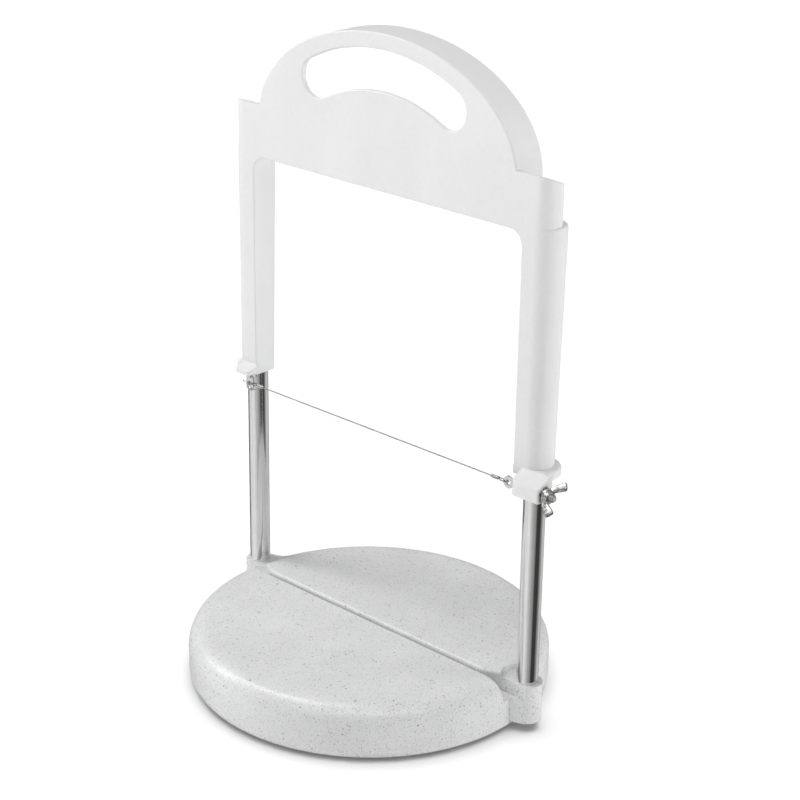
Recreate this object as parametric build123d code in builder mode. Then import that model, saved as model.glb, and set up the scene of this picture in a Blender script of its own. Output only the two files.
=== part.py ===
from build123d import *
import math
import os

os.makedirs("parts", exist_ok=True)

# Cheese wire cutter: a round base with two upright rods, and a yoke that slides down them
# with a taut wire. Millimetres. The origin is on the table under the middle of the base,
# +X towards the wing nut, +Y towards the rods, +Z up. The wire lies in the plane y = 0.

# --- base
BASE_R = 121.0
FOOT_H = 2.0
BASE_TOP = 37.3
TOP_ROUND = 15.0
LOW_ROUND = 6.0
SLOT_HALF = 2.2
SLOT_FLOOR = 24.0
SLOT_BACK_ROUND = 2.5
SLOT_FRONT_ROUND = 0.6
FLARE_START = 95.0
FLARE_END = 113.0
PAST_EDGE = 30.0

# --- ears that carry the rods
ROD_X = 124.0
ROD_Y = 16.5
BOSS_R = 10.0
EAR_LOW = 7.0
EAR_TOP = 33.5
EAR_FRONT = 8.5
EAR_BLEND = 15.0
EAR_ROOT_R = 115.9
RECESS_R = 17.0

# --- rods, screws, washers, feet
ROD_R = 7.0
ROD_TOP = 222.0
ROD_CHAMFER = 1.0
SCREW_R = 3.0
SCREW_CLEAR = 0.3
SCREW_FIT = 0.02
SCREW_IN_ROD = 15.0
SCREW_HEAD_R = 5.0
SCREW_HEAD_H = 6.0
HEX_SOCKET = 5.0
SOCKET_DEPTH = 3.0
WASHER_R = 6.0
WASHER_T = 1.6
COUNTERBORE_R = 6.5
COUNTERBORE_TOP = 17.0
FOOT_R = 10.0
FOOT_STEM_R = 4.0
FOOT_STEM_H = 6.0
FOOT_RING = 85.0

# --- yoke
PLATE = 3.0
FRONT_Y = 5.9
ARCH_Z = 361.3
ARCH_RX = 109.3
ARCH_RZ = 70.6
ARCH_DEPTH = 24.0
SHOULDER_TOP = 368.8
SHOULDER_R = ROD_Y - FRONT_Y
SHOULDER_DROP = 5.0
LEG_INNER_X = 114.4
LEG_LOW = 179.5
LEG_TOP = 338.0
LEG_R_LOW = 10.9
LEG_R_TOP = 12.1
RIM_DEPTH = 15.6
WINDOW_TOP = 333.4
WINDOW_CORNER = 10.0
BORE_R = 7.08
GRIP_END_X = 55.5
GRIP_ARC_R = 120.0
GRIP_ARC_Z = 288.9
GRIP_HEIGHT = 26.0
EDGE_ROUND = 0.8
ARCH_ROUND = 1.0
LUG_LOW_ROUND = 1.2
COLLAR_TOP = 185.0
COLLAR_ROUND = 2.0
COLLAR_R = {-1: 14.0, 1: 15.5}

# --- lugs: right one takes the tensioning bolt, left one holds the fixed eye
LUG_IN = 121.5
LUG_OUT = 144.0
LUG_FRONT = -5.6
LUG_BACK = 7.9
LUG_LOW = 170.5
LUG_FRONT_TOP = 180.4
LUG_TOP = 185.0
LUG_INNER_ROUND = 5.0
LUG_OUTER_ROUND = 1.5
LEFT_LUG_OUT = -126.0
LEFT_LUG_IN = -112.0
LEFT_LUG_FRONT = -3.5
LEFT_LUG_LOW = 181.5
LEFT_LUG_TOP = 187.0
LEFT_LUG_ROUND = 2.5

# --- wire and fittings
WIRE_Z = 175.5
WIRE_R = 0.4
WIRE_SIDE = 1.45
TAIL_Y = 1.0
EYE_T = 1.5
BOLT_EYE_X = 116.5
BOLT_EYE_R = 4.0
BOLT_HOLE_R = 2.0
NECK_HALF = 2.2
NECK_END = 124.0
SHANK_START = 122.5
BOLT_R = 2.5
BOLT_BORE_R = 2.56
BOLT_END = 152.5
ANCHOR_X = -114.0
ANCHOR_R = 3.25
ANCHOR_LOW = 170.5
ANCHOR_HOLE_R = 1.6
ANCHOR_STEM_R = 1.8
ANCHOR_FIT = 0.02
ANCHOR_STEM_TOP = 184.0
LOOP_GAP = 1.35
NECK_RUN = 2.2
CRIMP_LEN = 5.5
CRIMP_WALL = 0.65
CRIMP_FIT = 0.01
NUT_WASHER_R = 5.2
NUT_WASHER_T = 1.0

# --- wing nut
HUB_R = 5.0
HUB_TOP_R = 4.2
HUB_H = 4.5
NUT_BORE_R = 2.55
WING_T = 2.2
WING_TIP_R = 3.0
WING_REACH = 9.8
WING_RISE = 9.3
WING_TURN = 41.5


def side_name(side):
    return "right" if side > 0 else "left"


def lies_at(edge, axis, value):
    """True for an edge that has one coordinate at this value all along."""
    box = edge.bounding_box()
    low, high = getattr(box.min, axis), getattr(box.max, axis)
    return abs(low - value) < 0.01 and abs(high - value) < 0.01


def save(part, name):
    part.label = name
    export_step(part, f"parts/{name}.step")


# ---------------------------------------------------------------- base
with BuildPart() as base:
    with BuildSketch(Plane.XY.offset(FOOT_H)):
        Circle(BASE_R)
    extrude(amount=BASE_TOP - FOOT_H)
    fillet(base.edges().sort_by(Axis.Z)[-1], TOP_ROUND)
    fillet(base.edges().filter_by(GeomType.CIRCLE).sort_by(Axis.Z)[0], LOW_ROUND)
    for side in (-1, 1):
        # ear: a round boss blended into the disc's side with hollow curves
        with BuildSketch(Plane.XY.offset(EAR_LOW)) as ear:
            Circle(EAR_ROOT_R)
            with Locations((side * ROD_X, ROD_Y)):
                Circle(BOSS_R)
            joins = ear.vertices().filter_by(
                lambda v: abs(math.hypot(v.X, v.Y) - EAR_ROOT_R) < 0.01
                and abs(math.hypot(v.X - side * ROD_X, v.Y - ROD_Y) - BOSS_R) < 0.01
            )
            fillet(joins, EAR_BLEND)
            with Locations((side * (ROD_X - 5), ROD_Y)):
                Rectangle(40, 80, mode=Mode.INTERSECT)
        extrude(amount=SLOT_FLOOR - EAR_LOW)
        # above the slot's floor the ear keeps only what is behind its flat front
        with BuildSketch(Plane.XY.offset(SLOT_FLOOR)):
            add(ear.sketch_local)
            with Locations((side * ROD_X, EAR_FRONT + 30)):
                Rectangle(80, 60, mode=Mode.INTERSECT)
        extrude(amount=EAR_TOP - SLOT_FLOOR)
    # round seats sunk into the disc's rim, where the legs land
    with BuildSketch(Plane.XY.offset(EAR_TOP)):
        with Locations((ROD_X, ROD_Y), (-ROD_X, ROD_Y)):
            Circle(RECESS_R)
    extrude(amount=BASE_TOP - EAR_TOP + 1, mode=Mode.SUBTRACT)
    # slot for the wire, flaring backwards at both ends to make room for its fittings
    with BuildSketch(Plane.XY.offset(SLOT_FLOOR)):
        Rectangle(2 * (BASE_R + PAST_EDGE), 2 * SLOT_HALF)
        for side in (-1, 1):
            with BuildLine():
                flare = Spline(
                    (side * FLARE_START, SLOT_HALF),
                    (side * FLARE_END, EAR_FRONT),
                    tangents=[(side, 0), (side, 0)],
                )
                Polyline(
                    flare @ 1,
                    (side * (BASE_R + PAST_EDGE), EAR_FRONT),
                    (side * (BASE_R + PAST_EDGE), 0),
                    (side * FLARE_START, 0),
                    flare @ 0,
                )
            make_face()
    extrude(amount=BASE_TOP, mode=Mode.SUBTRACT)
    # softened rear edge of the slot's straight stretch
    slot_rear = (
        base.edges()
        .filter_by(Axis.X)
        .filter_by(lambda e: abs(e.center().Z - BASE_TOP) < 0.01 and e.center().Y > 0)
    )
    fillet(slot_rear, SLOT_BACK_ROUND)
    slot_front = (
        base.edges()
        .filter_by(Axis.X)
        .filter_by(lambda e: abs(e.center().Z - BASE_TOP) < 0.01 and e.center().Y < 0)
    )
    fillet(slot_front, SLOT_FRONT_ROUND)
    # screw holes through the ears, each with a counterbore below
    with BuildSketch(Plane.XY.offset(COUNTERBORE_TOP)):
        with Locations((ROD_X, ROD_Y), (-ROD_X, ROD_Y)):
            Circle(COUNTERBORE_R)
    extrude(amount=-COUNTERBORE_TOP, mode=Mode.SUBTRACT)
    with BuildSketch(Plane.XY.offset(EAR_TOP)):
        with Locations((ROD_X, ROD_Y), (-ROD_X, ROD_Y)):
            Circle(SCREW_R + SCREW_CLEAR)
    extrude(amount=-EAR_TOP, mode=Mode.SUBTRACT)
    # blind holes for the feet's stems
    with BuildSketch(Plane.XY.offset(FOOT_H)):
        Circle(FOOT_STEM_R)
        with PolarLocations(FOOT_RING, 4, start_angle=45):
            Circle(FOOT_STEM_R)
    extrude(amount=FOOT_STEM_H, mode=Mode.SUBTRACT)

save(base.part, "base")

# ---------------------------------------------------------------- feet
foot_places = {
    "foot_centre": (0, 0),
    "foot_front_left": (-1, -1),
    "foot_front_right": (1, -1),
    "foot_rear_left": (-1, 1),
    "foot_rear_right": (1, 1),
}
foot_reach = FOOT_RING * math.sqrt(0.5)
for name, (across, back) in foot_places.items():
    with BuildPart() as foot:
        with BuildSketch(Plane.XY):
            with Locations((across * foot_reach, back * foot_reach)):
                Circle(FOOT_R)
        extrude(amount=FOOT_H)
        fillet(foot.edges().sort_by(Axis.Z)[0], 0.8)
        with BuildSketch(Plane.XY.offset(FOOT_H)):
            with Locations((across * foot_reach, back * foot_reach)):
                Circle(FOOT_STEM_R - 0.05)
        extrude(amount=FOOT_STEM_H - 0.5)
    save(foot.part, name)

# ---------------------------------------------------------------- rods, screws, washers
head_top = COUNTERBORE_TOP - WASHER_T
for side in (-1, 1):
    with BuildPart() as rod:
        with BuildSketch(Plane.XY.offset(EAR_TOP)):
            with Locations((side * ROD_X, ROD_Y)):
                Circle(ROD_R)
        extrude(amount=ROD_TOP - EAR_TOP)
        chamfer(rod.edges().sort_by(Axis.Z)[-1], ROD_CHAMFER)
        with BuildSketch(Plane.XY.offset(EAR_TOP)):
            with Locations((side * ROD_X, ROD_Y)):
                Circle(SCREW_R)
        extrude(amount=SCREW_IN_ROD + 3, mode=Mode.SUBTRACT)
    save(rod.part, f"rod_{side_name(side)}")

    with BuildPart() as screw:
        with BuildSketch(Plane.XY.offset(head_top - SCREW_HEAD_H)):
            with Locations((side * ROD_X, ROD_Y)):
                Circle(SCREW_HEAD_R)
        extrude(amount=SCREW_HEAD_H)
        chamfer(screw.edges().sort_by(Axis.Z)[0], 0.5)
        with BuildSketch(Plane.XY.offset(head_top)):
            with Locations((side * ROD_X, ROD_Y)):
                Circle(SCREW_R - SCREW_FIT)
        extrude(amount=EAR_TOP + SCREW_IN_ROD - head_top)
        with BuildSketch(Plane.XY.offset(head_top - SCREW_HEAD_H)):
            with Locations((side * ROD_X, ROD_Y)):
                RegularPolygon(HEX_SOCKET / 2, 6, major_radius=False)
        extrude(amount=SOCKET_DEPTH, mode=Mode.SUBTRACT)
    save(screw.part, f"rod_screw_{side_name(side)}")

    with BuildPart() as washer:
        with BuildSketch(Plane.XY.offset(head_top)):
            with Locations((side * ROD_X, ROD_Y)):
                Circle(WASHER_R)
                Circle(SCREW_R + SCREW_CLEAR, mode=Mode.SUBTRACT)
        extrude(amount=WASHER_T)
    save(washer.part, f"rod_washer_{side_name(side)}")

# ---------------------------------------------------------------- yoke
FACE = Plane.XZ.offset(-FRONT_Y)
WINDOW_LOW = LEG_LOW - 20
GRIP_END_Z = GRIP_ARC_Z + math.sqrt(GRIP_ARC_R**2 - GRIP_END_X**2)


def window(grow):
    """The opening between the legs, open below, with rounded top corners."""
    top = WINDOW_TOP + grow
    with BuildSketch(mode=Mode.PRIVATE) as shape:
        with Locations((0, (WINDOW_LOW + top) / 2)):
            Rectangle(2 * (LEG_INNER_X + grow), top - WINDOW_LOW)
        fillet(shape.vertices().group_by(Axis.Y)[-1], WINDOW_CORNER + grow)
    return shape.sketch


with BuildPart() as yoke:
    # thin front plate: arch, shoulders and the legs' faces, with the grip hole
    with BuildSketch(FACE):
        with Locations((0, ARCH_Z)):
            Ellipse(ARCH_RX, ARCH_RZ)
        with Locations((0, (SHOULDER_TOP + LEG_LOW) / 2)):
            Rectangle(2 * ROD_X, SHOULDER_TOP - LEG_LOW)
        add(window(0), mode=Mode.SUBTRACT)
        with BuildLine(mode=Mode.PRIVATE) as grip:
            ThreePointArc(
                (-GRIP_END_X, GRIP_END_Z),
                (0, GRIP_ARC_Z + GRIP_ARC_R),
                (GRIP_END_X, GRIP_END_Z),
            )
        SlotArc(grip.edges()[0], GRIP_HEIGHT, mode=Mode.SUBTRACT)
    extrude(amount=-PLATE)
    # rim behind the arch, carried down inside the shoulders
    with BuildSketch(FACE):
        with Locations((0, ARCH_Z)):
            Ellipse(ARCH_RX, ARCH_RZ)
            Ellipse(ARCH_RX - PLATE, ARCH_RZ - PLATE, mode=Mode.SUBTRACT)
        with Locations((0, ARCH_Z - ARCH_RZ / 2)):
            Rectangle(2 * ARCH_RX, ARCH_RZ, mode=Mode.SUBTRACT)
        rim_x = ARCH_RX - PLATE / 2
        with Locations((rim_x, (ARCH_Z + WINDOW_TOP) / 2), (-rim_x, (ARCH_Z + WINDOW_TOP) / 2)):
            Rectangle(PLATE, ARCH_Z - WINDOW_TOP)
    extrude(amount=-ARCH_DEPTH)
    # rim round the window
    with BuildSketch(FACE):
        add(window(PLATE))
        add(window(0), mode=Mode.SUBTRACT)
        with Locations((0, LEG_LOW / 2)):
            Rectangle(4 * ROD_X, LEG_LOW, mode=Mode.SUBTRACT)
    extrude(amount=-RIM_DEPTH)
    for side in (-1, 1):
        # leg: a tapering tube round the rod, flush in front, with a squared inner corner
        with BuildSketch(Plane.XY.offset(LEG_LOW)):
            with Locations((side * ROD_X, FRONT_Y + LEG_R_LOW)):
                Circle(LEG_R_LOW)
        with BuildSketch(Plane.XY.offset(LEG_TOP)):
            with Locations((side * ROD_X, FRONT_Y + LEG_R_TOP)):
                Circle(LEG_R_TOP)
        loft()
        fillet(yoke.edges().filter_by(
            lambda e: abs(e.center().Z - LEG_TOP) < 0.01 and side * e.center().X > ROD_X
        ).sort_by(SortBy.LENGTH)[-1:], 1.5)
        with BuildSketch(Plane.XY.offset(LEG_LOW)):
            with Locations((side * (LEG_INNER_X + ROD_X) / 2, FRONT_Y + RIM_DEPTH / 2)):
                Rectangle(ROD_X - LEG_INNER_X, RIM_DEPTH)
        extrude(amount=LEG_TOP - LEG_LOW)
        # shoulder: the plate curls round the rod's outer side and is open behind
        with BuildSketch(Plane.XY.offset(LEG_TOP - 2)):
            with Locations((side * ROD_X, ROD_Y)):
                Circle(SHOULDER_R)
                Circle(SHOULDER_R - PLATE, mode=Mode.SUBTRACT)
            with Locations((side * (ROD_X + 10), ROD_Y - 9)):
                Rectangle(20, 22, mode=Mode.INTERSECT)
        extrude(amount=SHOULDER_TOP - LEG_TOP + 2)
    # the shoulders' tops fall away behind the plate
    for start in (-2 * ROD_X, ROD_X):
        with BuildSketch(Plane.YZ.offset(start)):
            with BuildLine():
                Polyline(
                    (FRONT_Y + PLATE / 2, SHOULDER_TOP),
                    (ROD_Y + 3, SHOULDER_TOP - SHOULDER_DROP),
                    (ROD_Y + 3, SHOULDER_TOP + 1),
                    (FRONT_Y + PLATE / 2, SHOULDER_TOP + 1),
                    close=True,
                )
            make_face()
        extrude(amount=ROD_X, mode=Mode.SUBTRACT)

    # window cut clean through the legs' round backs, its front edge softened
    with BuildSketch(FACE):
        add(window(0))
    extrude(amount=-60, mode=Mode.SUBTRACT)
    window_edges = yoke.edges().filter_by(
        lambda e: lies_at(e, "Y", FRONT_Y)
        and abs(e.center().X) < LEG_INNER_X + 0.1
        and e.center().Z < WINDOW_TOP + 0.1
        and e.bounding_box().max.Z > LEG_LOW + 1
    )
    fillet(window_edges, EDGE_ROUND)

    # collars round the legs' feet: the left one only on the outer side of its leg
    for side, turn in ((-1, 180), (1, 360)):
        with BuildSketch(Plane.YZ.offset(side * ROD_X)) as collar:
            with Locations((ROD_Y + COLLAR_R[side] / 2, (LEG_LOW + COLLAR_TOP) / 2)):
                Rectangle(COLLAR_R[side], COLLAR_TOP - LEG_LOW)
            fillet(collar.vertices().group_by(Axis.Y)[-1].sort_by(Axis.X)[-1], COLLAR_ROUND)
        revolve(axis=Axis((side * ROD_X, ROD_Y, 0), (0, 0, 1)), revolution_arc=turn)
    # nothing of the collars stands in front of the legs' faces
    with BuildSketch(FACE):
        with Locations((0, (LEG_LOW + COLLAR_TOP) / 2)):
            Rectangle(4 * ROD_X, COLLAR_TOP - LEG_LOW + 2)
    extrude(amount=3 * PLATE, mode=Mode.SUBTRACT)

    # right lug: an upright block in front of the leg's foot, its top sloping up to the leg
    with BuildSketch(Plane.XY.offset(LUG_LOW)) as lug:
        with Locations(((LUG_IN + LUG_OUT) / 2, (LUG_FRONT + LUG_BACK) / 2)):
            Rectangle(LUG_OUT - LUG_IN, LUG_BACK - LUG_FRONT)
        front = lug.vertices().group_by(Axis.Y)[0].sort_by(Axis.X)
        fillet(front[0], LUG_INNER_ROUND)
        fillet(lug.vertices().group_by(Axis.Y)[0].sort_by(Axis.X)[-1], LUG_OUTER_ROUND)
    extrude(amount=LUG_TOP - LUG_LOW)
    # left lug: a shallower block over the fixed eye
    with BuildSketch(Plane.XY.offset(LEFT_LUG_LOW)) as left_lug:
        with Locations(((LEFT_LUG_OUT + LEFT_LUG_IN) / 2, (LEFT_LUG_FRONT + LUG_BACK) / 2)):
            Rectangle(LEFT_LUG_IN - LEFT_LUG_OUT, LUG_BACK - LEFT_LUG_FRONT)
        fillet(left_lug.vertices().group_by(Axis.Y)[0], LEFT_LUG_ROUND)
    extrude(amount=LEFT_LUG_TOP - LEFT_LUG_LOW)
    # both lugs' sloping tops
    with BuildSketch(Plane.YZ.offset(LUG_IN - 1)):
        with BuildLine():
            Polyline(
                (LUG_FRONT - 1, LUG_FRONT_TOP - 0.4),
                (FRONT_Y, LUG_TOP),
                (FRONT_Y, LUG_TOP + 6),
                (LUG_FRONT - 1, LUG_TOP + 6),
                close=True,
            )
        make_face()
    extrude(amount=LUG_OUT - LUG_IN + 2, mode=Mode.SUBTRACT)
    with BuildSketch(Plane.YZ.offset(LEFT_LUG_OUT - 8)):
        with BuildLine():
            Polyline(
                (LEFT_LUG_FRONT - 1, LEFT_LUG_TOP - 3),
                (FRONT_Y, LEFT_LUG_TOP),
                (FRONT_Y, LEFT_LUG_TOP + 6),
                (LEFT_LUG_FRONT - 1, LEFT_LUG_TOP + 6),
                close=True,
            )
        make_face()
    extrude(amount=24, mode=Mode.SUBTRACT)
    # the collars are open to the window, as the legs are
    with BuildSketch(FACE):
        add(window(0))
    extrude(amount=-60, mode=Mode.SUBTRACT)
    # bores: rods, tensioning bolt, fixed eye's stem
    with BuildSketch(Plane.XY.offset(LEG_LOW - 5)):
        with Locations((ROD_X, ROD_Y), (-ROD_X, ROD_Y)):
            Circle(BORE_R)
    extrude(amount=SHOULDER_TOP - LEG_LOW + 20, mode=Mode.SUBTRACT)
    with BuildSketch(Plane.YZ.offset(LUG_IN - 1)):
        with Locations((0, WIRE_Z)):
            Circle(BOLT_BORE_R)
    extrude(amount=LUG_OUT - LUG_IN + 2, mode=Mode.SUBTRACT)
    with BuildSketch(Plane.XY.offset(LEFT_LUG_LOW - 1)):
        with Locations((ANCHOR_X, 0)):
            Circle(ANCHOR_STEM_R + ANCHOR_FIT)
    extrude(amount=ANCHOR_STEM_TOP - LEFT_LUG_LOW + 1, mode=Mode.SUBTRACT)

    # softened edges: grip hole, arch front and back, both lugs
    grip_edges = yoke.edges().filter_by(
        lambda e: lies_at(e, "Y", FRONT_Y)
        and WINDOW_TOP + 1 < e.bounding_box().max.Z < ARCH_Z + ARCH_RZ - 5
        and abs(e.center().X) < GRIP_END_X + GRIP_HEIGHT
    )
    fillet(grip_edges, EDGE_ROUND)
    arch_edges = yoke.edges().filter_by(
        lambda e: lies_at(e, "Y", FRONT_Y) and e.bounding_box().max.Z > ARCH_Z + ARCH_RZ - 5
    )
    fillet(arch_edges, ARCH_ROUND)
    fillet(yoke.edges().filter_by(lambda e: lies_at(e, "Z", LUG_LOW)), LUG_LOW_ROUND)
    lug_end = yoke.edges().filter_by(GeomType.LINE).filter_by(
        lambda e: lies_at(e, "X", LUG_OUT) and e.center().Y < FRONT_Y - 0.1 and e.center().Z > LUG_LOW + 0.5
    )
    fillet(lug_end, EDGE_ROUND)
    left_lug_edges = yoke.edges().filter_by(
        lambda e: lies_at(e, "Z", LEFT_LUG_LOW)
        and e.center().Y < FRONT_Y - 0.1
        and e.geom_type != GeomType.CIRCLE
    )
    fillet(left_lug_edges, EDGE_ROUND)
    rim_edges = yoke.edges().filter_by(
        lambda e: lies_at(e, "Y", FRONT_Y + ARCH_DEPTH) and e.bounding_box().max.Z > ARCH_Z + ARCH_RZ / 2
    )
    fillet(rim_edges, EDGE_ROUND)

save(yoke.part, "yoke")

# ---------------------------------------------------------------- fittings of the wire
EYE_PLANE = Plane.XZ.offset(-EYE_T / 2)

with BuildPart() as wire_anchor:
    with BuildSketch(EYE_PLANE):
        with Locations((ANCHOR_X, (ANCHOR_LOW + LEFT_LUG_LOW) / 2)):
            RectangleRounded(2 * ANCHOR_R, LEFT_LUG_LOW - ANCHOR_LOW, ANCHOR_R - 0.05)
        with Locations((ANCHOR_X, WIRE_Z)):
            Circle(ANCHOR_HOLE_R, mode=Mode.SUBTRACT)
    extrude(amount=EYE_T)
    with BuildSketch(Plane.XY.offset(LEFT_LUG_LOW - 2)):
        with Locations((ANCHOR_X, 0)):
            Circle(ANCHOR_STEM_R)
    extrude(amount=ANCHOR_STEM_TOP - LEFT_LUG_LOW + 2)
save(wire_anchor.part, "wire_anchor")

with BuildPart() as eye_bolt:
    with BuildSketch(EYE_PLANE):
        with Locations((BOLT_EYE_X, WIRE_Z)):
            Circle(BOLT_EYE_R)
        with Locations(((BOLT_EYE_X + NECK_END) / 2, WIRE_Z)):
            Rectangle(NECK_END - BOLT_EYE_X, 2 * NECK_HALF)
        with Locations((BOLT_EYE_X, WIRE_Z)):
            Circle(BOLT_HOLE_R, mode=Mode.SUBTRACT)
    extrude(amount=EYE_T)
    with BuildSketch(Plane.YZ.offset(SHANK_START)):
        with Locations((0, WIRE_Z)):
            Circle(BOLT_R)
    extrude(amount=BOLT_END - SHANK_START)
    chamfer(eye_bolt.edges().sort_by(Axis.X)[-1], 0.6)
save(eye_bolt.part, "eye_bolt")

with BuildPart() as tension_washer:
    with BuildSketch(Plane.YZ.offset(LUG_OUT)):
        with Locations((0, WIRE_Z)):
            Circle(NUT_WASHER_R)
            Circle(BOLT_R + 0.2, mode=Mode.SUBTRACT)
    extrude(amount=NUT_WASHER_T)
save(tension_washer.part, "tension_washer")

# ---------------------------------------------------------------- wing nut
NUT_X = LUG_OUT + NUT_WASHER_T
turn = math.radians(WING_TURN)
WING_PLANE = Plane(
    origin=(NUT_X, 0, WIRE_Z),
    x_dir=(0, math.cos(turn), math.sin(turn)),
    z_dir=(0, math.sin(turn), -math.cos(turn)),
)

with BuildPart() as wing_nut:
    with BuildSketch(Plane.YZ.offset(NUT_X)):
        with Locations((0, WIRE_Z)):
            Circle(HUB_R)
    with BuildSketch(Plane.YZ.offset(NUT_X + HUB_H)):
        with Locations((0, WIRE_Z)):
            Circle(HUB_TOP_R)
    loft()
    with BuildSketch(WING_PLANE):
        for s in (-1, 1):
            with BuildLine():
                Polyline(
                    (s * 2.0, 0.7),
                    (s * 5.2, 0.7),
                    (s * (WING_REACH + 2.6), WING_RISE - 1.5),
                    (s * (WING_REACH - 2.6), WING_RISE + 1.5),
                    (s * 2.0, HUB_H - 0.2),
                    close=True,
                )
            make_face()
        with Locations((WING_REACH, WING_RISE), (-WING_REACH, WING_RISE)):
            Circle(WING_TIP_R)
    extrude(amount=WING_T / 2, both=True)
    with BuildSketch(Plane.YZ.offset(NUT_X - 1)):
        with Locations((0, WIRE_Z)):
            Circle(NUT_BORE_R)
    extrude(amount=30, mode=Mode.SUBTRACT)
save(wing_nut.part, "wing_nut")

# ---------------------------------------------------------------- cutting wire
right_arc = BOLT_EYE_X - BOLT_HOLE_R + LOOP_GAP - WIRE_SIDE
left_arc = ANCHOR_X + ANCHOR_HOLE_R - LOOP_GAP + WIRE_SIDE
right_neck = right_arc - 5.8
left_neck = left_arc + 5.0

with BuildPart() as wire:
    with BuildLine(Plane.XY.offset(WIRE_Z)) as route:
        Polyline(
            (left_neck + CRIMP_LEN + 1, TAIL_Y),
            (left_neck, TAIL_Y),
            (left_neck - NECK_RUN, WIRE_SIDE),
            (left_arc, WIRE_SIDE),
        )
        ThreePointArc((left_arc, WIRE_SIDE), (left_arc - WIRE_SIDE, 0), (left_arc, -WIRE_SIDE))
        Polyline(
            (left_arc, -WIRE_SIDE),
            (left_neck - NECK_RUN, -WIRE_SIDE),
            (left_neck, 0),
            (right_neck, 0),
            (right_neck + NECK_RUN, -WIRE_SIDE),
            (right_arc, -WIRE_SIDE),
        )
        ThreePointArc((right_arc, -WIRE_SIDE), (right_arc + WIRE_SIDE, 0), (right_arc, WIRE_SIDE))
        Polyline(
            (right_arc, WIRE_SIDE),
            (right_neck + NECK_RUN, WIRE_SIDE),
            (right_neck, TAIL_Y),
            (right_neck - CRIMP_LEN - 1, TAIL_Y),
        )
    with BuildSketch(Plane(origin=route.wires()[0] @ 0, z_dir=route.wires()[0] % 0)):
        Circle(WIRE_R)
    sweep(path=route.wires()[0], transition=Transition.RIGHT)
save(wire.part, "cutting_wire")

# ---------------------------------------------------------------- crimps
for side, start in ((-1, left_neck + 0.3), (1, right_neck - 0.3 - CRIMP_LEN)):
    with BuildPart() as crimp:
        with BuildSketch(Plane.YZ.offset(start)):
            with Locations((TAIL_Y / 2, WIRE_Z)):
                SlotCenterToCenter(TAIL_Y, 2 * (WIRE_R + CRIMP_WALL))
            with Locations((0, WIRE_Z), (TAIL_Y, WIRE_Z)):
                Circle(WIRE_R + CRIMP_FIT, mode=Mode.SUBTRACT)
        extrude(amount=CRIMP_LEN)
    save(crimp.part, f"wire_crimp_{side_name(side)}")

wire_length = route.wires()[0].length
print("wire length", round(wire_length, 1))
print("wire volume by section", round(wire_length * math.pi * WIRE_R**2, 1))
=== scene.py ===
"""Looks of the cheese wire cutter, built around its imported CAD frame. Metres, +Z up."""

import math

import bmesh
import bpy
from mathutils import Matrix, Vector


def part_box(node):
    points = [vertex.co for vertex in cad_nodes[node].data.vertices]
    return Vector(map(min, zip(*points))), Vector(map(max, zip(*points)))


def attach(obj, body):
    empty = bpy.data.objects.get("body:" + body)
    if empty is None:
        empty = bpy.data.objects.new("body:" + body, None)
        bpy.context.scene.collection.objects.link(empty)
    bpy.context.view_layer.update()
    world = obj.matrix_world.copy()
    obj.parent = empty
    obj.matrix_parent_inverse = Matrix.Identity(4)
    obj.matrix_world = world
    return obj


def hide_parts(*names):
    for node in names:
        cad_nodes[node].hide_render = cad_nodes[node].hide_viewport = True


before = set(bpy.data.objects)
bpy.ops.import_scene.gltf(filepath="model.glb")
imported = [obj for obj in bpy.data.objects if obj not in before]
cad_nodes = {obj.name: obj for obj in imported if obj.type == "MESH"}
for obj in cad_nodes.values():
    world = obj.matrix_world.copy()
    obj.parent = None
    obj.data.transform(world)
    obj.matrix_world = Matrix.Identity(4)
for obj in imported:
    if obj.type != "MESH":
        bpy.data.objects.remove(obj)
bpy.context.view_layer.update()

MM = 0.001
SMOOTH_ANGLE = math.radians(32)


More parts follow.
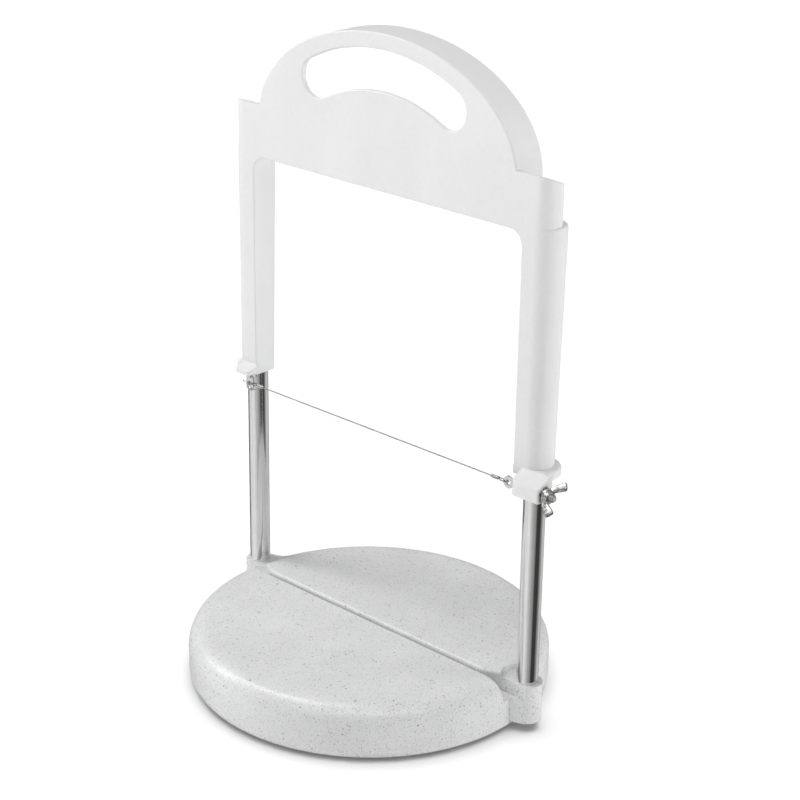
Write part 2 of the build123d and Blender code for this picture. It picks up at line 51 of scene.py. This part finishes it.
# ------------------------------------------------------------------ node helpers
class Shading:
    """A material with one Principled shader, fed by object coordinates in metres."""

    def __init__(self, name, **sockets):
        self.material = bpy.data.materials.new(name)
        self.material.use_nodes = True
        self.tree = self.material.node_tree
        self.shader = self.tree.nodes["Principled BSDF"]
        for socket, value in sockets.items():
            self.shader.inputs[socket.replace("_", " ")].default_value = value
        self.place = self.tree.nodes.new("ShaderNodeTexCoord").outputs["Object"]

    def add(self, kind, **settings):
        node = self.tree.nodes.new("ShaderNode" + kind)
        for key, value in settings.items():
            setattr(node, key, value)
        return node

    def link(self, source, target):
        self.tree.links.new(source, target)

    def stretched(self, x, y, z):
        """Object coordinates with each axis scaled, for streaks."""
        mapping = self.add("Mapping")
        mapping.inputs["Scale"].default_value = (x, y, z)
        self.link(self.place, mapping.inputs["Vector"])
        return mapping.outputs["Vector"]

    def wobbled(self, scale, reach):
        """Object coordinates pushed about by noise, so that spots aren't quite round."""
        wobble = self.add("TexNoise")
        wobble.inputs["Scale"].default_value = scale
        self.link(self.place, wobble.inputs["Vector"])
        push = self.add("VectorMath", operation="SCALE")
        push.inputs["Scale"].default_value = reach
        self.link(wobble.outputs["Color"], push.inputs[0])
        moved = self.add("VectorMath", operation="ADD")
        self.link(self.place, moved.inputs[0])
        self.link(push.outputs[0], moved.inputs[1])
        return moved.outputs[0]

    def noise(self, scale, detail=4.0, roughness=0.55, vector=None):
        node = self.add("TexNoise")
        node.inputs["Scale"].default_value = scale
        node.inputs["Detail"].default_value = detail
        node.inputs["Roughness"].default_value = roughness
        self.link(vector or self.place, node.inputs["Vector"])
        return node.outputs["Fac"]

    def ramp(self, source, *stops):
        """stops are (position, value or colour) pairs."""
        node = self.add("ValToRGB")
        elements = node.color_ramp.elements
        while len(elements) < len(stops):
            elements.new(0.5)
        for element, (position, value) in zip(elements, stops):
            element.position = position
            colour = value if isinstance(value, tuple) else (value,) * 3
            element.color = (*colour, 1.0)
        self.link(source, node.inputs["Fac"])
        return node.outputs["Color"]

    def mix(self, blend, factor, a, b):
        node = self.add("Mix", data_type="RGBA", blend_type=blend)
        pairs = ((node.inputs["Factor"], factor), (node.inputs[6], a), (node.inputs[7], b))
        for socket, value in pairs:
            if hasattr(value, "is_linked"):
                self.link(value, socket)
            else:
                socket.default_value = value if isinstance(value, float) else (*value, 1.0)
        return node.outputs[2]

    def maths(self, operation, a, b):
        node = self.add("Math", operation=operation)
        for socket, value in zip(node.inputs, (a, b)):
            if hasattr(value, "is_linked"):
                self.link(value, socket)
            else:
                socket.default_value = value
        return node.outputs[0]

    def spots(self, vector, scale, size, empty):
        """A mask of scattered round spots, faint to strong. empty is the share of cells without."""
        cells = self.add("TexVoronoi")
        cells.inputs["Scale"].default_value = scale
        self.link(vector, cells.inputs["Vector"])
        shape = self.ramp(cells.outputs["Distance"], (size * 0.7, 1.0), (size * 1.5, 0.0))
        draw = self.add("SeparateColor")
        self.link(cells.outputs["Color"], draw.inputs[0])
        present = self.maths("GREATER_THAN", draw.outputs[0], empty)
        strength = self.ramp(draw.outputs[1], (0.0, 0.2), (0.7, 0.6), (1.0, 0.95))
        return self.maths("MULTIPLY", self.maths("MULTIPLY", shape, present), strength)

    def colour(self, source):
        self.link(source, self.shader.inputs["Base Color"])

    def roughness(self, source, low, high):
        self.link(self.ramp(source, (0.3, low), (0.7, high)), self.shader.inputs["Roughness"])

    def bump(self, *layers, ease=0.0):
        """Each layer is (height, strength, distance in metres); ease rounds small corners."""
        normal = None
        if ease:
            corner = self.add("Bevel", samples=6)
            corner.inputs["Radius"].default_value = ease
            normal = corner.outputs["Normal"]
        for height, strength, distance in layers:
            node = self.add("Bump")
            node.inputs["Strength"].default_value = strength
            node.inputs["Distance"].default_value = distance
            self.link(height, node.inputs["Height"])
            if normal is not None:
                self.link(normal, node.inputs["Normal"])
            normal = node.outputs["Normal"]
        self.link(normal, self.shader.inputs["Normal"])


# ------------------------------------------------------------------ materials
# each kind of grain: (cells per metre, grain size in cells, share of cells left empty, grey)
GRAINS = (
    (290, 0.15, 0.67, 0.09),
    (540, 0.19, 0.47, 0.18),
    (860, 0.235, 0.4, 0.31),
)
GRAIN_WOBBLE_SCALE = 700
GRAIN_WOBBLE = 1.2 * MM


def speckled_plastic():
    """Pale moulded plastic full of fine dark grains, as stone-effect plastic is."""
    s = Shading("base_speckled", Roughness=0.32, Specular_IOR_Level=0.95)
    clouds = s.ramp(s.noise(38, 5), (0.25, (0.76, 0.762, 0.768)), (0.75, (0.84, 0.842, 0.848)))
    grain = s.ramp(s.noise(1100, 2), (0.35, 0.88), (0.62, 1.0))
    colour = s.mix("MULTIPLY", 1.0, clouds, grain)
    place = s.wobbled(GRAIN_WOBBLE_SCALE, GRAIN_WOBBLE)
    for scale, size, empty, grey in GRAINS:
        mask = s.spots(place, scale, size, empty)
        colour = s.mix("MIX", mask, colour, (grey, grey, grey * 1.02))
    s.colour(colour)
    s.roughness(s.noise(120, 6), 0.27, 0.38)
    s.bump((s.noise(1400, 3), 0.1, 0.0002), (s.noise(90, 2), 0.05, 0.0006), ease=0.7 * MM)
    return s.material


def moulded_white():
    """White satin plastic with the faint flow marks and fine texture of a moulding."""
    s = Shading("yoke_moulded", Roughness=0.4, Specular_IOR_Level=0.5)
    flow = s.ramp(
        s.noise(16, 4, vector=s.stretched(1, 1, 0.4)),
        (0.3, (0.76, 0.76, 0.765)),
        (0.7, (0.81, 0.81, 0.812)),
    )
    dust = s.ramp(s.noise(420, 2), (0.28, 0.975), (0.5, 1.0))
    s.colour(s.mix("MULTIPLY", 1.0, flow, dust))
    s.roughness(s.noise(70, 6), 0.33, 0.46)
    s.bump((s.noise(1800, 2), 0.08, 0.00015), (s.noise(45, 2), 0.06, 0.0006), ease=1.0 * MM)
    return s.material


def drawn_steel(name, grey, low, high, along, streaks, pits=0.05):
    """Steel with fine lines along one direction. along scales the object's axes."""
    s = Shading(name, Metallic=1.0, Roughness=0.25)
    lines = s.noise(streaks, 5, 0.7, s.stretched(*along))
    stains = s.noise(55, 5)
    tone = s.ramp(lines, (0.3, grey * 0.86), (0.7, grey * 1.08))
    dulled = s.ramp(stains, (0.3, (0.93, 0.925, 0.915)), (0.6, 1.0))
    s.colour(s.mix("MULTIPLY", 1.0, tone, dulled))
    s.roughness(s.mix("MIX", 0.35, lines, stains), low, high)
    s.bump((lines, 0.16, 0.00006), (s.noise(900, 3), pits, 0.0001))
    return s.material


def cast_metal():
    """Dull cast and tumbled metal of the wing nut."""
    s = Shading("wing_nut_cast", Metallic=1.0, Roughness=0.35)
    s.colour(s.ramp(s.noise(260, 6), (0.35, (0.26, 0.255, 0.25)), (0.65, (0.74, 0.73, 0.72))))
    s.roughness(s.noise(420, 5), 0.16, 0.36)
    s.bump((s.noise(700, 5), 0.3, 0.00022))
    return s.material


def foot_rubber():
    s = Shading("foot_rubber", Roughness=0.8)
    s.colour(s.ramp(s.noise(300, 5), (0.3, 0.022), (0.7, 0.05)))
    s.roughness(s.noise(500, 4), 0.7, 0.9)
    s.bump((s.noise(1200, 4), 0.3, 0.0002))
    return s.material


UPRIGHT = (1, 1, 0.012)
ALONG_X = (0.02, 1, 1)
EVERY_WAY = (1, 1, 1)

SPECKLED = speckled_plastic()
WHITE = moulded_white()
ROD_STEEL = drawn_steel("rod_steel", 0.80, 0.08, 0.2, UPRIGHT, 1500)
WIRE_STEEL = drawn_steel("wire_steel", 0.36, 0.2, 0.34, ALONG_X, 2500)
BRIGHT_STEEL = drawn_steel("fitting_steel", 0.72, 0.14, 0.3, EVERY_WAY, 600, 0.12)
ZINC = drawn_steel("fastener_zinc", 0.4, 0.2, 0.36, EVERY_WAY, 500, 0.15)
CAST = cast_metal()
RUBBER = foot_rubber()


# ------------------------------------------------------------------ piece helpers
def painted(obj, material):
    obj.data.materials.clear()
    obj.data.materials.append(material)


def piece(name, mesh, body, material, replaces=()):
    """A new object in the row frame that moves with a body."""
    obj = bpy.data.objects.new(name, mesh)
    bpy.context.scene.collection.objects.link(obj)
    painted(obj, material)
    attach(obj, body)
    if replaces:
        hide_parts(*replaces)
    return obj


def shade_smooth(mesh, angle=SMOOTH_ANGLE):
    """Smooth faces, with the edges that turn more than angle kept sharp."""
    bm = bmesh.new()
    bm.from_mesh(mesh)
    for face in bm.faces:
        face.smooth = True
    for edge in bm.edges:
        edge.smooth = not (len(edge.link_faces) == 2 and edge.calc_face_angle(0) > angle)
    bm.to_mesh(mesh)
    bm.free()


def grid_mesh(name, rings, closed_ends=True):
    """A tube of rings of points, each ring with the same count, capped at both ends."""
    verts = [tuple(p) for ring in rings for p in ring]
    count = len(rings[0])
    faces = []
    for r in range(len(rings) - 1):
        for i in range(count):
            j = (i + 1) % count
            faces.append((r * count + i, r * count + j, (r + 1) * count + j, (r + 1) * count + i))
    if closed_ends:
        last = (len(rings) - 1) * count
        faces.append(tuple(reversed(range(count))))
        faces.append(tuple(range(last, last + count)))
    mesh = bpy.data.meshes.new(name)
    mesh.from_pydata(verts, [], faces)
    bm = bmesh.new()
    bm.from_mesh(mesh)
    bmesh.ops.recalc_face_normals(bm, faces=bm.faces)
    bm.to_mesh(mesh)
    bm.free()
    return mesh


def tube_mesh(name, path, radius, sides=14):
    """A round wire along a list of points, a little thinner at its two ends."""
    points = [Vector(p) for p in path]
    rings = []
    normal = None
    for i, point in enumerate(points):
        forward = (points[min(i + 1, len(points) - 1)] - points[max(i - 1, 0)]).normalized()
        if normal is None:
            normal = forward.orthogonal().normalized()
        normal = (normal - forward * normal.dot(forward)).normalized()
        side = forward.cross(normal)
        size = radius * (0.7 if i in (0, len(points) - 1) else 1.0)
        turns = [2 * math.pi * k / sides for k in range(sides)]
        rings.append([point + (normal * math.cos(t) + side * math.sin(t)) * size for t in turns])
    return grid_mesh(name, rings)


def joined(name, meshes):
    """One mesh of several."""
    bm = bmesh.new()
    for mesh in meshes:
        bm.from_mesh(mesh)
    out = bpy.data.meshes.new(name)
    bm.to_mesh(out)
    bm.free()
    return out


def cleaned_copy(node, name):
    """A copy of a CAD node's mesh with its doubled vertices joined."""
    bm = bmesh.new()
    bm.from_mesh(cad_nodes[node].data)
    bmesh.ops.remove_doubles(bm, verts=bm.verts, dist=1e-6)
    mesh = bpy.data.meshes.new(name)
    bm.to_mesh(mesh)
    bm.free()
    return mesh


# ------------------------------------------------------------------ CAD pieces that stay
for name, material in {
    "base": SPECKLED,
    "yoke": WHITE,
    "cutting_wire": WIRE_STEEL,
    "rod_left": ROD_STEEL,
    "rod_right": ROD_STEEL,
    "rod_screw_left": ZINC,
    "rod_screw_right": ZINC,
    "rod_washer_left": ZINC,
    "rod_washer_right": ZINC,
    "wire_anchor": BRIGHT_STEEL,
    "tension_washer": ZINC,
    "foot_centre": RUBBER,
    "foot_front_left": RUBBER,
    "foot_front_right": RUBBER,
    "foot_rear_left": RUBBER,
    "foot_rear_right": RUBBER,
}.items():
    painted(cad_nodes[name], material)


# ------------------------------------------------------------------ twisted wire ends
WIRE_R = 0.4 * MM
COIL_PITCH = 2.1 * WIRE_R
COIL_STEPS = 20
wire_low, wire_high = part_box("cutting_wire")
wire_z = (wire_low.z + wire_high.z) / 2


def twisted_end(side):
    """The wire's end wound round the wire beside its loop, in place of the CAD's crimp."""
    node = f"wire_crimp_{side}"
    low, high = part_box(node)
    direction = 1 if side == "left" else -1
    start = low.x if direction > 0 else high.x
    turns = (high.x - low.x) / COIL_PITCH
    steps = int(turns * COIL_STEPS)
    path = []
    for i in range(steps + 1):
        t = i / steps
        # the winding opens out a little towards its end
        radius = 2 * WIRE_R * (1 + 0.1 * t)
        angle = 2 * math.pi * turns * t
        x = start + direction * (high.x - low.x) * t
        path.append((x, radius * math.cos(angle), wire_z + radius * math.sin(angle)))
    mesh = tube_mesh(f"wire_twist_{side}", path, WIRE_R * 0.98, 12)
    shade_smooth(mesh)
    piece(f"wire_twist_{side}", mesh, "yoke", BRIGHT_STEEL, [node])


for side in ("left", "right"):
    twisted_end(side)


def spline(name, points):
    """Points along a smooth curve through the control points given, in order."""
    curve = bpy.data.curves.new(name, "CURVE")
    curve.dimensions = "3D"
    line = curve.splines.new("NURBS")
    line.points.add(len(points) - 1)
    for point, place in zip(line.points, points):
        point.co = (*place, 1)
    line.order_u = 4
    line.use_endpoint_u = True
    curve.resolution_u = 6
    obj = bpy.data.objects.new(name, curve)
    mesh = bpy.data.meshes.new_from_object(obj)
    path = [v.co.copy() for v in mesh.vertices]
    bpy.data.objects.remove(obj)
    return path


EYE_HALF_T = 0.75 * MM
EYE_RING_WALL = 1.65 * MM
WRAP_TURNS = 9
WRAP_FROM, WRAP_TO = math.radians(122), math.radians(318)
# the short ends left over, in millimetres from the eye's centre
WRAP_STUB = ((-6.6, -0.6, 2.7), (-5.4, -1.1, 1.0), (-4.3, -0.6, 2.2))
WRAP_END = ((3.9, 0.5, -2.6), (5.2, -0.9, -1.3), (6.9, -1.1, -0.6))


def wound_eye():
    """The wire's tail wound round the left eye's ring, and the short end left over."""
    low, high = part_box("wire_anchor")
    ring_r = (high.x - low.x) / 2
    centre = Vector(((low.x + high.x) / 2, 0, low.z + ring_r))
    hole = ring_r - EYE_RING_WALL
    mid, half = (ring_r + hole) / 2, (ring_r - hole) / 2
    points = []
    steps = WRAP_TURNS * 8
    for i in range(steps + 1):
        t = i / steps
        along = WRAP_FROM + (WRAP_TO - WRAP_FROM) * t
        turn = 2 * math.pi * WRAP_TURNS * t
        # hand-wound: each turn stands a little differently off the ring
        loose = 1 + 0.22 * math.sin(2.3 * turn / 3 + 0.7)
        radial = mid + (half + 0.75 * WIRE_R * loose) * math.cos(turn)
        across = min(EYE_HALF_T + WIRE_R * (0.9 + 0.3 * loose), 1.4 * MM) * math.sin(turn)
        points.append(centre + Vector((radial * math.cos(along), across, radial * math.sin(along))))
    end = [centre + Vector(v) * MM for v in WRAP_END]
    stub = [centre + Vector(v) * MM for v in WRAP_STUB]
    mesh = tube_mesh("wire_wrap_left", spline("wrap_path", stub + points + end), WIRE_R * 0.95, 10)
    shade_smooth(mesh)
    piece("wire_wrap_left", mesh, "yoke", BRIGHT_STEEL)


wound_eye()


# ------------------------------------------------------------------ eye bolt with its thread
THREAD_PITCH = 0.8 * MM
THREAD_DEPTH = 0.42 * MM
THREAD_SIDES = 48
THREAD_INSIDE_LUG = 8 * MM
THREAD_CHAMFER = 0.8 * MM
PER_PITCH = 8


def threaded_bolt():
    """The CAD's eye and shank as far as inside the lug, then a thread with a chamfered end."""
    low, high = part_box("eye_bolt")
    lug_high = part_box("tension_washer")[0].x
    start = lug_high - THREAD_INSIDE_LUG
    radius = (high.y - low.y) / 2
    head = cleaned_copy("eye_bolt", "eye_bolt_head")
    bm = bmesh.new()
    bm.from_mesh(head)
    geometry = bm.verts[:] + bm.edges[:] + bm.faces[:]
    cut = bmesh.ops.bisect_plane(
        bm, geom=geometry, plane_co=(start, 0, 0), plane_no=(1, 0, 0), clear_outer=True
    )
    rim = [e for e in cut["geom_cut"] if isinstance(e, bmesh.types.BMEdge)]
    bmesh.ops.contextual_create(bm, geom=rim)
    bm.to_mesh(head)
    bm.free()
    rings = []
    steps = int((high.x - start) / THREAD_PITCH * PER_PITCH)
    for i in range(steps + 1):
        x = start + (high.x - start) * i / steps
        chamfer = max(0.0, x - (high.x - THREAD_CHAMFER))
        ring = []
        for k in range(THREAD_SIDES):
            angle = 2 * math.pi * k / THREAD_SIDES
            phase = ((x - start) / THREAD_PITCH - k / THREAD_SIDES) % 1.0
            groove = THREAD_DEPTH * abs(2 * phase - 1)
            r = min(radius - groove, radius - chamfer)
            ring.append((x, r * math.cos(angle), wire_z + r * math.sin(angle)))
        rings.append(ring)
    thread = grid_mesh("eye_bolt_thread", rings)
    mesh = joined("tension_eye_bolt", [head, thread])
    shade_smooth(mesh, math.radians(40))
    piece("tension_eye_bolt", mesh, "eye_bolt", BRIGHT_STEEL, ["eye_bolt"])


threaded_bolt()


# ------------------------------------------------------------------ cast wing nut
WING_VOXEL = 0.3 * MM
WING_ANGLE = math.radians(41.5)
WING_SIDES = 28
NUT_BORE = 2.55 * MM
# (distance from the hub's foot, radius), millimetres
HUB_PROFILE = ((0, 4.4), (0.5, 5.0), (2, 4.9), (4.1, 4.2), (4.5, 3.8))


def lathe_rings(profile, centre_z, count=40):
    """Rings about the bolt's axis from (x, radius) pairs."""
    turns = [2 * math.pi * k / count for k in range(count)]
    return [[(x, r * math.cos(t), centre_z + r * math.sin(t)) for t in turns] for x, r in profile]


def wing_rings(low_x, sign):
    """Flat oval sections of one wing, from inside the hub out to its blunt tip."""
    spine = (
        # (along the wing, above the hub's foot, half width, half thickness), millimetres
        (1.0, 2.2, 2.0, 1.7),
        (4.0, 2.6, 2.1, 1.5),
        (5.8, 3.8, 2.3, 1.35),
        (7.3, 5.7, 2.6, 1.3),
        (8.6, 7.6, 2.9, 1.3),
        (9.7, 9.1, 3.0, 1.3),
        (10.3, 9.9, 2.8, 1.2),
        (10.6, 10.3, 2.2, 0.9),
    )
    rings = []
    for i, (reach, rise, half_width, half_thick) in enumerate(spine):
        before, after = spine[max(i - 1, 0)], spine[min(i + 1, len(spine) - 1)]
        slope = Vector((after[0] - before[0], after[1] - before[1])).normalized()
        ring = []
        for k in range(WING_SIDES):
            angle = 2 * math.pi * k / WING_SIDES
            wide, thick = squircle(angle, half_width, half_thick)
            across = (reach - slope.y * wide) * sign
            up = rise + slope.x * wide
            y = across * math.cos(WING_ANGLE) + thick * math.sin(WING_ANGLE)
            z = across * math.sin(WING_ANGLE) - thick * math.cos(WING_ANGLE)
            ring.append((low_x + up * MM, y * MM, wire_z + z * MM))
        rings.append(ring)
    return rings


def squircle(angle, half_width, half_thick):
    """A point of an oval with flattened sides."""
    c, s = math.cos(angle), math.sin(angle)
    return (
        half_width * math.copysign(abs(c) ** 0.6, c),
        half_thick * math.copysign(abs(s) ** 0.6, s),
    )


def wing_nut():
    low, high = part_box("wing_nut")
    hub = lathe_rings([(low.x + x * MM, r * MM) for x, r in HUB_PROFILE], wire_z)
    shapes = [grid_mesh("hub", hub)]
    for sign in (-1, 1):
        shapes.append(grid_mesh("wing", wing_rings(low.x, sign)))
    mesh = joined("wing_nut_cast", shapes)
    obj = piece("wing_nut_cast", mesh, "wing_nut", CAST, ["wing_nut"])
    remesh = obj.modifiers.new("fused", "REMESH")
    remesh.mode = "VOXEL"
    remesh.voxel_size = WING_VOXEL
    remesh.use_smooth_shade = True
    smooth = obj.modifiers.new("softened", "SMOOTH")
    smooth.factor = 0.5
    smooth.iterations = 5
    bore_rings = lathe_rings([(low.x - MM, NUT_BORE), (low.x + 6 * MM, NUT_BORE)], wire_z, 48)
    bore_mesh = grid_mesh("bore", bore_rings)
    bore = bpy.data.objects.new("bore_cutter", bore_mesh)
    bpy.context.scene.collection.objects.link(bore)
    cut = obj.modifiers.new("bored", "BOOLEAN")
    cut.object = bore
    cut.operation = "DIFFERENCE"
    cut.solver = "EXACT"
    bpy.context.view_layer.update()
    evaluated = obj.evaluated_get(bpy.context.evaluated_depsgraph_get())
    shaped = bpy.data.meshes.new_from_object(evaluated)
    obj.modifiers.clear()
    obj.data = shaped
    shaped.name = "wing_nut_cast"
    bpy.data.objects.remove(bore)
    shade_smooth(shaped, math.radians(50))
    painted(obj, CAST)


wing_nut()


# ------------------------------------------------------------------ floor, light, camera
def paper(name, **sockets):
    """Matt white paper, very slightly uneven."""
    s = Shading(name, Roughness=0.8, Specular_IOR_Level=0.1, **sockets)
    s.colour(s.ramp(s.noise(4, 3), (0.3, 0.92), (0.7, 0.95)))
    return s


STAGE_R = 20.0
WALL_H = 16.0
WALL_GLOW = 0.8
STAGE_SIDES = 96


def stage_piece(name, rings, faces, material):
    turns = [2 * math.pi * k / STAGE_SIDES for k in range(STAGE_SIDES)]
    mesh = bpy.data.meshes.new(name)
    verts = [(STAGE_R * math.cos(t), STAGE_R * math.sin(t), z) for z in rings for t in turns]
    mesh.from_pydata(verts, [], faces)
    obj = bpy.data.objects.new(name, mesh)
    bpy.context.scene.collection.objects.link(obj)
    painted(obj, material)
    return obj


def floor():
    obj = stage_piece("floor", (0,), [tuple(range(STAGE_SIDES))], paper("floor_paper").material)
    # a studio device: metal and gloss mirror the surroundings below the horizon, not the floor
    obj.visible_glossy = False
    return obj


def wall():
    """A far round backdrop, there only to be seen behind the object."""
    s = paper("wall_paper", Emission_Strength=WALL_GLOW)
    s.link(s.ramp(s.noise(2, 2), (0.3, 0.97), (0.7, 1.0)), s.shader.inputs["Emission Color"])
    n = STAGE_SIDES
    faces = [((k + 1) % n, k, n + k, n + (k + 1) % n) for k in range(n)]
    obj = stage_piece("wall", (0, WALL_H), faces, s.material)
    obj.visible_diffuse = False
    obj.visible_glossy = False
    obj.visible_transmission = False
    obj.visible_shadow = False


def link_floor(light, ground, state):
    """The light falls on the floor alone ("INCLUDE") or on all but it ("EXCLUDE").

    Everything still casts its shadow."""
    receivers = bpy.data.collections.new(f"{light.name}_receivers")
    receivers.objects.link(ground)
    receivers.collection_objects[0].light_linking.link_state = state
    light.light_linking.receiver_collection = receivers


FLOOR_SUN = 2.5


def floor_wash(ground):
    """Even light over the whole floor, broad enough for a soft contact shadow."""
    sun = bpy.data.lights.new("floor_wash", "SUN")
    sun.energy = FLOOR_SUN
    sun.angle = math.radians(65)
    obj = bpy.data.objects.new("floor_wash", sun)
    bpy.context.scene.collection.objects.link(obj)
    obj.visible_glossy = False
    link_floor(obj, ground, "INCLUDE")


def softbox(name, place, size, power, mirrored):
    light = bpy.data.lights.new(name, "AREA")
    light.shape = "RECTANGLE"
    light.size, light.size_y = size
    light.energy = power
    obj = bpy.data.objects.new(name, light)
    bpy.context.scene.collection.objects.link(obj)
    obj.location = place
    obj.rotation_euler = (Vector(LIGHT_TARGET) - Vector(place)).to_track_quat("-Z", "Y").to_euler()
    obj.visible_glossy = mirrored
    return obj


# brightness of the studio by compass angle, in degrees from +X, as the metal mirrors it
# below the horizon: a white card to the front left, a black one to the right, a grey one behind
CARDS = (
    (-180, 0.14), (-172, 0.25), (-158, 0.85), (-95, 0.95), (-68, 0.6), (-46, 0.42), (-24, 0.24),
    (-18, 0.05), (20, 0.05), (32, 0.2), (52, 0.6), (92, 0.65), (112, 0.16), (180, 0.14),
)
SURROUND = 0.36


def surroundings():
    """Even white above the horizon and the cards below it, where the floor hides them."""
    world = bpy.data.worlds.new("studio")
    world.use_nodes = True
    tree = world.node_tree
    link = tree.links.new

    def node(kind, **settings):
        made = tree.nodes.new("ShaderNode" + kind)
        for key, value in settings.items():
            setattr(made, key, value)
        return made

    axes = node("SeparateXYZ")
    link(node("TexCoord").outputs["Generated"], axes.inputs[0])
    compass = node("Math", operation="ARCTAN2")
    link(axes.outputs["Y"], compass.inputs[0])
    link(axes.outputs["X"], compass.inputs[1])
    turn = node("Math", operation="MULTIPLY_ADD")
    turn.inputs[1].default_value = 1 / (2 * math.pi)
    turn.inputs[2].default_value = 0.5
    link(compass.outputs[0], turn.inputs[0])
    cards = node("ValToRGB")
    stops = cards.color_ramp.elements
    while len(stops) < len(CARDS):
        stops.new(0.5)
    for stop, (angle, value) in zip(stops, CARDS):
        stop.position = angle / 360 + 0.5
        stop.color = (value, value, value, 1)
    link(turn.outputs[0], cards.inputs["Fac"])
    above = node("Math", operation="GREATER_THAN")
    above.inputs[1].default_value = 0.0
    link(axes.outputs["Z"], above.inputs[0])
    light = node("Mix", data_type="RGBA")
    link(above.outputs[0], light.inputs["Factor"])
    link(cards.outputs["Color"], light.inputs[6])
    light.inputs[7].default_value = (SURROUND, SURROUND, SURROUND, 1)
    link(light.outputs[2], tree.nodes["Background"].inputs["Color"])
    bpy.context.scene.world = world


LIGHT_TARGET = (0, 0, 0.2)
# name, place, (width, height), watts, mirrored in metal and gloss. The strip and the box in
# front are what the rounded rims mirror.
SOFTBOXES = (
    ("key", (-1.5, -1.1, 1.1), (0.8, 0.9), 13, False),
    ("strip", (-0.95, -0.3, 1.4), (0.35, 2.0), 11, True),
    ("front_overhead", (0.6, -0.65, 1.65), (1.6, 0.5), 6, True),
    ("right", (1.6, 1.1, 0.5), (0.5, 0.8), 13, False),
)


def lighting(ground):
    boxes = [softbox(*values) for values in SOFTBOXES]
    # the floor has its own even light, so that it stays white and the shadows on it dark
    for box in boxes:
        link_floor(box, ground, "EXCLUDE")
    floor_wash(ground)
    surroundings()


# the photograph's viewing angle, fitted to points of the part seen in it, without lens shift
CAMERA_PLACE = (0.844, -0.8845, 0.695)
CAMERA_AZIMUTH = math.radians(42.8)
CAMERA_DROP = math.radians(22.2)
CAMERA_ROLL = math.radians(0.87)
CAMERA_LENS = 92.57


def camera():
    forward = Vector((
        -math.sin(CAMERA_AZIMUTH) * math.cos(CAMERA_DROP),
        math.cos(CAMERA_AZIMUTH) * math.cos(CAMERA_DROP),
        -math.sin(CAMERA_DROP),
    ))
    level = Vector((math.cos(CAMERA_AZIMUTH), math.sin(CAMERA_AZIMUTH), 0))
    up = level.cross(forward)
    right = level * math.cos(CAMERA_ROLL) + up * math.sin(CAMERA_ROLL)
    up = right.cross(forward)
    data = bpy.data.cameras.new("camera")
    data.lens = CAMERA_LENS
    obj = bpy.data.objects.new("camera", data)
    bpy.context.scene.collection.objects.link(obj)
    turn = Matrix((right, up, -forward)).transposed()
    obj.matrix_world = Matrix.Translation(CAMERA_PLACE) @ turn.to_4x4()
    bpy.context.scene.camera = obj


lighting(floor())
wall()
camera()
bpy.context.scene.view_settings.view_transform = "Standard"
